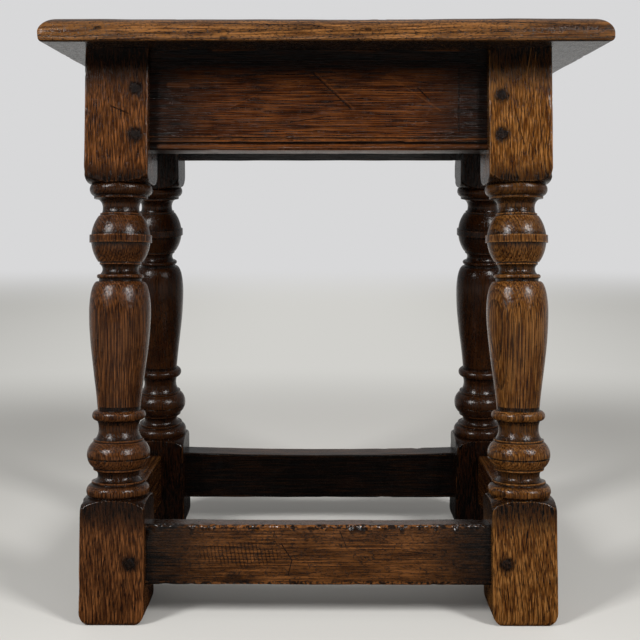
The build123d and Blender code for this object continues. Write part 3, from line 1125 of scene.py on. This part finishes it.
def paper_floor():
    """A large round floor that fades into the pale wall with distance, darker to the sides as
    painted shade.
    """
    floor = start(bpy.ops.mesh.primitive_circle_add, "paper_floor", vertices=96, radius=7,
                  fill_type="NGON", location=(0, 0, 0))
    paper = bpy.data.materials.new("paper_floor")
    paper.use_nodes = True
    tree = paper.node_tree
    tree.nodes.remove(tree.nodes["Principled BSDF"])
    place = node(tree, "TexCoord", output="Object")
    x, y, _ = node(tree, "SeparateXYZ", place).node.outputs
    aside = node(tree, "Math ABSOLUTE", x)
    # the paper reaches further to the sides than to the back
    oval = node(tree, "VectorMath MULTIPLY", place, (0.55, 1, 1))
    away = node(tree, "VectorMath LENGTH", oval)
    # each change is eased over a stretch, in metres
    wall_share, in_front, beside, far_painted_shade_share, horizon = [
        node(tree, "MapRange", value, start, full, interpolation_type="SMOOTHSTEP")
        for value, start, full in (
            (away, 0.6, 1.2), (y, 0.9, 0.1), (aside, 0.18, 0.45), (aside, 0.1, 1.3),
            (away, 2.3, 4.4))
    ]
    # in the wax, the floor in front of the stool is as dim as the room there
    glossy = node(tree, "LightPath", output="Is Glossy Ray")
    in_wax = node(tree, "Math MULTIPLY", in_front, glossy)
    near, far = linear(PAPER), linear(FAR)
    # to the sides, the paper near and far is darkened: painted shade
    for share, colour in ((beside, PAPER_IN_PAINTED_SHADE), (in_wax, PAPER_IN_WAX)):
        near = node(tree, "Mix", share, near, linear(colour), data_type="RGBA")
    for share, colour in ((far_painted_shade_share, FAR_IN_PAINTED_SHADE), (horizon, WALL)):
        far = node(tree, "Mix", share, far, linear(colour), data_type="RGBA")
    matt = node(tree, "BsdfDiffuse", near)
    # the far floor glows, standing for the lit backdrop
    wall = node(tree, "Emission", far)
    mixed = node(tree, "MixShader", wall_share, matt, wall)
    tree.links.new(mixed, tree.nodes["Material Output"].inputs["Surface"])
    floor.data.materials.append(paper)


paper_floor()


# %% Lamps
def softbox(name, location, size, power):
    """A lamp aimed at the middle of the stool, in metres and watts."""
    data = bpy.data.lights.new(name, "AREA")
    data.shape = "RECTANGLE"
    data.size, data.size_y = size
    data.energy = power
    lamp = bpy.data.objects.new(name, data)
    lamp.location = location
    aim = Vector((0, 0, 0.25)) - Vector(location)
    lamp.rotation_mode = "QUATERNION"
    lamp.rotation_quaternion = aim.to_track_quat("-Z", "Y")
    bpy.context.scene.collection.objects.link(lamp)


for side_name, side in sides.items():
    softbox(f"{side_name}_softbox", (side * 1.45, -1.45, 1.45), (0.5, 0.7), 36)


# %% The room
def room():
    """A pale wall behind, a pale ceiling, and a dim room behind the camera."""
    world = bpy.data.worlds.new("room")
    bpy.context.scene.world = world
    world.use_nodes = True
    tree = world.node_tree
    direction = node(tree, "TexCoord", output="Generated")
    _, back, up = node(tree, "SeparateXYZ", direction).node.outputs
    wall, ceiling = [
        node(tree, "MapRange", value, start, full, least, most, interpolation_type="SMOOTHSTEP")
        for value, start, full, least, most in (
            (back, -0.35, 0.55, 0.03, 0.32), (up, 0.3, 0.95, 0.0, 0.5))
    ]
    camera_ray = node(tree, "LightPath", output="Is Camera Ray")
    dimmer = node(tree, "MapRange", camera_ray.node.outputs["Is Glossy Ray"], 0, 1, 1.0, 0.2)
    overhead = node(tree, "Math MULTIPLY", ceiling, dimmer)
    light = node(tree, "Math MAXIMUM", wall, overhead)
    colour = node(tree, "Mix", camera_ray, light, linear(WALL), data_type="RGBA")
    tree.links.new(colour, tree.nodes["Background"].inputs["Color"])


room()
bpy.context.scene.view_settings.view_transform = "Standard"

# %% [markdown]
# ## Old waxed oak
#
# Oak shows annual rings, each with a band of open pores that old wax and dirt fill to near
# black, and between them denser wood that takes the polish.  Along the grain run paler and
# darker streaks; the patina over it all is mottled from handling.  One finish draws this,
# because every piece is the same wood: the pieces differ in how the board lay in the tree, how
# wide the rings are, and how much light and dirt they have seen; the rear pieces' darker colours
# are partly painted shade.  It is built in layers, as the years laid them on: the wood, its
# rubbed arrises, pores and cracks, dirt together with painted shade, and last scratches.

# %% The wood
GRAIN = {"x": (0, radians(90), 0), "y": (radians(90), 0, 0), "z": (0, 0, 0)}
PORE_WIDTH = 0.7       # real ones are 0.3 mm, drawn as wide as they show
PORE_BAND = 0.9        # mm of each ring that crowded pores take, drawn as wide as it shows
# the near black of dirt, also used for painted shade
GRIME_AND_SHADE = "#060302"
PORE = "#0a0402"


def grown(tree, place, grain, pith, ring, tilt, pore_length):
    """The patterns of the wood: its growth rings' early bands, and several noises."""
    # millimetres from the pith, with the grain along Z
    from_pith = node(tree, "VectorMath SUBTRACT", place, [v * MM for v in pith])
    rotation = [a + radians(b) for a, b in zip(GRAIN[grain], tilt)]
    board = node(tree, "Mapping", from_pith, (0, 0, 0), rotation, (1 / MM,) * 3)

    # the tree leans and swells, so the rings wander by up to 3 mm, over 34 mm across the grain
    # and 230 mm along it
    loose = node(tree, "VectorMath MULTIPLY", board, (1 / 34, 1 / 34, 1 / 230))
    sway = node(tree, "TexNoise", loose, 1, 1.5, 0.45, output="Color")
    bent = node(tree, "VectorMath MULTIPLY_ADD", sway, (3, 3, 0), board)
    flat = node(tree, "VectorMath MULTIPLY", bent, (1, 1, 0))
    reach = node(tree, "VectorMath LENGTH", flat)
    rings = node(tree, "Math DIVIDE", reach, ring)
    phase = node(tree, "Math FRACT", rings)
    early = node(tree, "MapRange", phase, PORE_BAND / ring, 0.3 * PORE_BAND / ring)

    # noises, by their size across the grain and along it, detail and roughness
    patterns = {"early": early}
    for name, source, across, along, detail, roughness in (
        ("specks", bent, PORE_WIDTH, pore_length, 1, 0.5),
        ("streaks", bent, 1.05, 45, 1.5, 0.6),
        ("patina", board, 13, 28, 6, 0.68),
        ("cracks", board, 5, 9, 3, 0.55),
        ("rub", place, 5.5 * MM, 5.5 * MM, 5, 0.65),
        ("nick", place, 2.6 * MM, 2.6 * MM, 2, 0.5),
    ):
        stretched = node(tree, "VectorMath MULTIPLY", source, (1 / across, 1 / across, 1 / along))
        patterns[name] = node(tree, "TexNoise", stretched, 1, detail, roughness)
    return patterns


# %% Light and dark wood
def lit(tree, wood, streaky):
    """Two shares: of the middle brown over the dark, and of the pale over both."""
    figure = node(tree, "Math MULTIPLY_ADD", wood["streaks"], streaky, 0.5 * (1 - streaky))
    lightness = node(tree, "Math MULTIPLY_ADD", wood["patina"], 0.5, figure)
    return [node(tree, "MapRange", lightness, least, most)
            for least, most in ((0.55, 0.75), (0.72, 0.94))]


# %% Rubbed arrises and their painted highlight, pores and hair cracks
def rubbed_and_highlit(tree, wood, wear):
    """Arrises rubbed pale, unevenly: wear, and also a painted highlight along the arrises."""
    uneven = node(tree, "Math ADD", wood["worn"], wood["nick"])
    return node(tree, "MapRange", uneven, 1.0, 1.45, 0, 0.75 * wear)


def inked(tree, wood, ink, crazing, chipped):
    """Where old wax has gone black: in pores, in hair cracks and along chipped arrises."""
    # open pores: short dark strokes, crowded into a line at the start of each ring
    crowded = node(tree, "Math MULTIPLY_ADD", wood["early"], 0.13, wood["specks"])
    pores = node(tree, "MapRange", crowded, 0.59, 0.65, interpolation_type="SMOOTHSTEP")
    lines = node(tree, "MapRange", wood["streaks"], 0.35, 0.6, 0.1, 0.75)
    lines = node(tree, "Math MULTIPLY", lines, wood["early"])
    inky = node(tree, "Math MAXIMUM", pores, lines)
    inky = node(tree, "Math MULTIPLY", inky, ink)

    # hair cracks of old wax: the level lines of a slow noise, on part of the face
    level = node(tree, "Math SUBTRACT", wood["cracks"], 0.5)
    level = node(tree, "Math ABSOLUTE", level)
    crack = node(tree, "MapRange", level, 0.026, 0.008)
    somewhere = node(tree, "MapRange", wood["rub"], 0.42, 0.56, 0, crazing)
    blots = [(crack, somewhere)]
    if chipped:
        # dark gaps where the arris has broken away
        gaps = node(tree, "MapRange", wood["nick"], 0.52, 0.46, 0, chipped)
        at_arris = node(tree, "MapRange", wood["worn"], 0.2, 0.5)
        blots.append((gaps, at_arris))
    for shape, where in blots:
        blot = node(tree, "Math MULTIPLY", shape, where)
        inky = node(tree, "Math MAXIMUM", inky, blot)
    return inky


# %% Dirt and painted shade
def soiled_and_shaded(tree, wood):
    """Dirt, with painted shade in creases and hollows, and how ragged the grain makes its edge."""
    dirt_and_shade_share = wood["dirt"]
    # creases and hollows darkened: painted shade together with dirt
    for hollow, start, full, most in (("crease", 0.06, 0.4, 0.92), ("hollow", 0.1, 0.7, 0.75)):
        gathered = node(tree, "MapRange", wood[hollow], start, full, 0, most)
        dirt_and_shade_share = node(tree, "Math MAXIMUM", dirt_and_shade_share, gathered)
    ragged = node(tree, "MapRange", wood["streaks"], 0.35, 0.65, 0.5, 1.4)
    dirt_and_shade_share = node(tree, "Math MULTIPLY", dirt_and_shade_share, ragged, use_clamp=True)
    return dirt_and_shade_share, ragged


# %% Cuts and scuffs
def combed(tree, place, rub, centre, half_length, half_height, spacing):
    """A patch of close cuts across the grain, leaning and a little uneven."""
    spot = node(tree, "VectorMath SUBTRACT", place, centre)
    x, _, z = node(tree, "SeparateXYZ", spot).node.outputs
    lean = node(tree, "Math MULTIPLY_ADD", z, 0.18, x)
    lean = node(tree, "Math MULTIPLY_ADD", rub, 0.8 * spacing, lean)
    teeth = node(tree, "Math MULTIPLY", lean, 2 * pi / spacing)
    teeth = node(tree, "Math SINE", teeth)
    teeth = node(tree, "MapRange", teeth, 0.1, 0.9)
    squeezed = node(tree, "VectorMath MULTIPLY", spot, (1 / half_length, 0, 1 / half_height))
    edge = node(tree, "VectorMath LENGTH", squeezed)
    edge = node(tree, "Math MULTIPLY_ADD", rub, 1.6, edge)
    patch = node(tree, "MapRange", edge, 1.9, 1.6, 0, 0.65)
    return node(tree, "Math MULTIPLY", patch, teeth)


def scratched(tree, place, ragged, start, end, width, strength):
    """A thin line from one point to another, broken up by the grain.  Width in millimetres."""
    along = end - start
    offset = node(tree, "VectorMath SUBTRACT", place, start)
    share = node(tree, "VectorMath DOT_PRODUCT", offset, along / along.length_squared)
    share = node(tree, "Clamp", share)
    nearest = node(tree, "VectorMath SCALE", along, share)
    gap = node(tree, "VectorMath DISTANCE", offset, nearest)
    line = node(tree, "MapRange", gap, width * MM, 0.4 * width * MM, 0, strength)
    return node(tree, "Math MULTIPLY", line, ragged, use_clamp=True)


# %% All the layers
def old_oak(name, grain, pith, ring, pale, brown, dark, tilt=(0, 0, 0), gloss=0.15, wear=1.0,
            streaky=1.0, pore_length=22, ink=0.8, crazing=0.25, chipped=0.0, relief=1.0,
            specular=0.5, comb=None, scratches=()):
    """Waxed oak.  Pith, ring and pores are in millimetres; the tilt is in degrees."""
    material = bpy.data.materials.new(name)
    material.use_nodes = True
    tree = material.node_tree
    shader = tree.nodes["Principled BSDF"].inputs
    shader["IOR"].default_value = 1.5
    shader["Specular IOR Level"].default_value = specular

    # from the wood up, each layer with its share and colour
    place = node(tree, "TexCoord", output="Object")
    wood = grown(tree, place, grain, pith, ring, tilt, pore_length)
    for name in ("worn", "dirt", "crease", "hollow", "dull"):
        wood[name] = node(tree, "Attribute", output="Fac", attribute_name=name)
    inky = inked(tree, wood, ink, crazing, chipped)
    dirt_and_shade_share, ragged = soiled_and_shaded(tree, wood)
    middling, light = lit(tree, wood, streaky)
    layers = [(middling, brown), (light, pale), (rubbed_and_highlit(tree, wood, wear), pale),
              (inky, PORE), (dirt_and_shade_share, GRIME_AND_SHADE)]
    if comb:
        layers.append((combed(tree, place, wood["rub"], *comb), GRIME_AND_SHADE))
    for start, end, width, shade in scratches:
        strength, paint = {"pale": (0.3, pale), "dark": (0.75, GRIME_AND_SHADE)}[shade]
        layers.append((scratched(tree, place, ragged, start, end, width, strength), paint))
    colour = linear(dark)
    for share, paint in layers:
        colour = node(tree, "Mix", share, colour, linear(paint), data_type="RGBA")
    tree.links.new(colour, shader["Base Color"])

    # wax: uneven in its gloss, dull in the pores, in the dirt and where there is none
    rough = node(tree, "MapRange", wood["rub"], 0.3, 0.7, gloss - 0.03, gloss + 0.07)
    stain = node(tree, "Math MULTIPLY_ADD", dirt_and_shade_share, 0.5, inky)
    for what, weight in ((stain, 0.12), (wood["dull"], 0.14)):
        rough = node(tree, "Math MULTIPLY_ADD", what, weight, rough)
    tree.links.new(rough, shader["Roughness"])

    # relief of the pores, and the shallow ripples that handling leaves
    height = wood["patina"]
    for what, weight in ((wood["rub"], 2.6), (inky, -0.3)):
        height = node(tree, "Math MULTIPLY_ADD", what, weight, height)
    bump = node(tree, "Bump", 1.0, 0.2 * relief * MM)
    tree.links.new(height, bump.node.inputs["Height"])
    tree.links.new(bump, shader["Normal"])
    return material


# %% [markdown]
# ## Scratches
#
# Every old stool has marks of its own: a cut from a knife, a scuff from a boot.  Each one here is
# a straight stroke between two places on a face, dark where it holds dirt and pale where it was
# rubbed, given as x and height in millimetres so that it can be read off with a rule.  One pale
# stroke along the top of the seat's front edge is a painted highlight, not a rub.

# %% Where the scratches run
bead_middle = rail_bottom + bead_height / 2
strokes = {
    "front_rail": [
        ((-12, 463), (22, 431), 0.9, "dark"),
        ((-9, 463), (24, 432), 0.6, "pale"),
        ((52, 461), (98, 430), 0.8, "pale"),
        ((79, 449), (89, 439), 0.9, "dark"),
        ((114, 466), (113.6, 412), 1.0, "dark"),
        ((-134, 452), (-118, 451), 2.6, "pale"),
        ((-58, 444), (-84, 431), 0.5, "pale"),
        ((-30, 420), (4, 425), 0.6, "dark"),
        ((-142, bead_middle), (142, bead_middle), 2.4, "pale"),     # all along the bead
    ],
    "front_left_leg": [
        ((-181, 432), (-167, 426), 0.9, "dark"),
        ((-190, 470), (-186, 444), 0.5, "pale"),
        ((-152, 8), (-153, 18), 4.0, "pale"),
    ],
    "front_right_leg": [
        ((174, 481), (170, 458), 0.6, "pale"),
        ((178, 478), (176, 455), 0.5, "pale"),
        ((160, 430), (166, 404), 0.6, "dark"),
        ((170, 90), (164, 60), 0.6, "dark"),
    ],
    "front_stretcher": [
        ((-37, 66), (-28, 52), 0.7, "dark"),
        ((-28, 52), (-31, 40), 0.7, "dark"),
        ((-33, 40), (-8, 42), 0.7, "dark"),
        ((12, 76), (17, 64), 0.8, "dark"),
        ((64, 60), (92, 57), 0.6, "dark"),
        ((46, 72), (58, 66), 0.8, "pale"),
    ],
    "seat": [
        ((-187, 490.8), (-197, 483), 1.2, "dark"),
        ((-187, 490.8), (-184, 491.5), 2.6, "dark"),
        ((-85, 482.7), (-81, 482.9), 2.2, "dark"),
        ((33, 490), (36, 489.6), 2.2, "dark"),
        # a painted highlight along the top of the front edge, drawn as a pale stroke
        ((26, 493), (62, 493.2), 2.4, "pale"),
        ((-222, 489), (-222, 482), 1.0, "dark"),
        ((-228, 488), (-229, 483), 1.0, "dark"),
    ],
}
setback = {"front_rail": rail_setback, "front_stretcher": stretcher_setback}
seat_edge_y = seat_low.y + 0.8 * MM


def on_face(piece_name, x, height):
    """A point on a piece's front face.  The seat's height is upright, the rest along the leg."""
    if piece_name == "seat":
        return Vector((x * MM, seat_edge_y, height * MM))
    return Vector((x * MM, *leant(FRONT, setback.get(piece_name, 0) * MM, height * MM)))


scratches = {
    name: [(on_face(name, *start), on_face(name, *end), width, shade)
           for start, end, width, shade in rows]
    for name, rows in strokes.items()
}
stretcher_comb = on_face("front_stretcher", -72, 57), 36 * MM, 9 * MM, 3.2 * MM

# %% Every piece's own board: where its pith lay, its rings, its colours and its age
boards = {
    "seat": dict(
        grain="x", pith=(0, 30, 400), ring=2.4, pale="#986535", brown="#6a4522", dark="#3d200c",
        tilt=(0, 1.2, 0), pore_length=3, gloss=0.13, specular=0.5, ink=0.85, crazing=0.7),
    "front_left_leg": dict(
        grain="z", pith=(-120, -60, 0), ring=1.7, pale="#794a26", brown="#492911",
        dark="#2d1507", pore_length=24, ink=0.75, gloss=0.115, specular=0.27),
    "front_right_leg": dict(
        grain="z", pith=(220, -70, 0), ring=2.1, pale="#976634", brown="#643c16",
        dark="#3b1d07", pore_length=30, ink=0.8, gloss=0.115, specular=0.27),
    # darker than the front legs: partly painted shade, for shadow the lamps don't give, partly dirt
    "rear_legs": dict(
        grain="z", pith=(20, 60, 0), ring=3.0, pale="#6f431f", brown="#42220c", dark="#250f04",
        wear=0.8, relief=0.7, gloss=0.13, specular=0.25),
    "front_rail": dict(
        grain="x", pith=(0, -60, 300), ring=1.9, pale="#6b3d1b", brown="#3f1d08",
        dark="#1e0b02", wear=1.4, streaky=0.9, ink=0.85, gloss=0.15, specular=0.3),
    # darker colours: partly painted shade, partly dirt
    "rear_rail": dict(
        grain="x", pith=(0, 160, 330), ring=2.6, pale="#5a3418", brown="#3a1d0a",
        dark="#221005", relief=0.6),
    "side_rails": dict(
        grain="y", pith=(30, 0, 330), ring=2.8, pale="#4f2f15", brown="#341a0a",
        dark="#201006"),
    "front_stretcher": dict(
        grain="x", pith=(0, -90, -40), ring=2.2, pale="#784a23", brown="#44260b",
        dark="#281305", wear=1.3, streaky=0.65, pore_length=5, ink=0.65, crazing=0.95,
        chipped=0.95, relief=0.5, comb=stretcher_comb),
    # darker colours: partly painted shade, partly dirt
    "rear_stretcher": dict(
        grain="x", pith=(0, 160, -30), ring=3.0, pale="#5a381a", brown="#371c09",
        dark="#1f0e04", wear=0.8, gloss=0.18, relief=0.25),
    "side_stretchers": dict(
        grain="y", pith=(50, 0, -30), ring=3.0, pale="#573618", brown="#331a0a",
        dark="#1d0d04"),
    "pegs": dict(
        grain="y", pith=(0, 0, 0), ring=2.0, pale="#452b19", brown="#130904", dark="#050201",
        gloss=0.4, crazing=0.9, relief=2.5, specular=0.12),
}
finishes = {
    name: old_oak(f"waxed_oak_{name}", scratches=scratches.get(name, ()), **board)
    for name, board in boards.items()
}


# %% Dress every piece
def finish_for(name):
    """The finish of a piece, by the piece's name."""
    stem = name.replace("_worn", "")
    if stem in finishes:
        return finishes[stem]
    for part, finish_name in (("peg", "pegs"), ("seat", "seat"), ("leg", "rear_legs"),
                              ("rail", "side_rails"), ("stretcher", "side_stretchers")):
        if part in stem:
            return finishes[finish_name]


for name, piece in [*finished.items(), *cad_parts.items()]:
    piece.data.materials.clear()
    piece.data.materials.append(finish_for(name))
print(len(finishes), "finishes")
